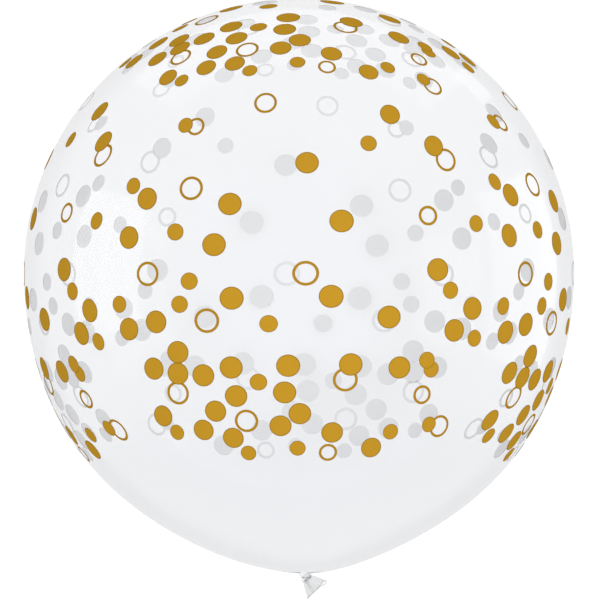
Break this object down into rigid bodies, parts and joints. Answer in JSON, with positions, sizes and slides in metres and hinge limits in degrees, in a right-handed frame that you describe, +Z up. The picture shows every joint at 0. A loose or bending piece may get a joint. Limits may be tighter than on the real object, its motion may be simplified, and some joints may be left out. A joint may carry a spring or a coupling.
{
  "type": "giant clear latex balloon",
  "caption": "Giant round clear latex balloon, inflated and knotted, printed with a gold confetti pattern and lying on its side.",
  "frame": {"origin": "middle of the small flat spot that the balloon rests on, straight below its widest ring", "axes": "+Y from the knot to the crown along the balloon's own axis, which lies level; +Z up, away from the floor; +X to the side that the knot's tail points to"},
  "size_m": [0.9144, 0.9971, 0.9117],
  "materials": {
    "clear_latex": "thin clear latex, slightly milky, smooth and glossy",
    "gold_print": "opaque gold ink printed on the outside of the latex",
    "print_back": "the same ink seen from inside, through the latex, as a pale neutral grey"
  },
  "bodies": {
    "root": {"balloon": "clear_latex"}
  },
  "joints": []
}
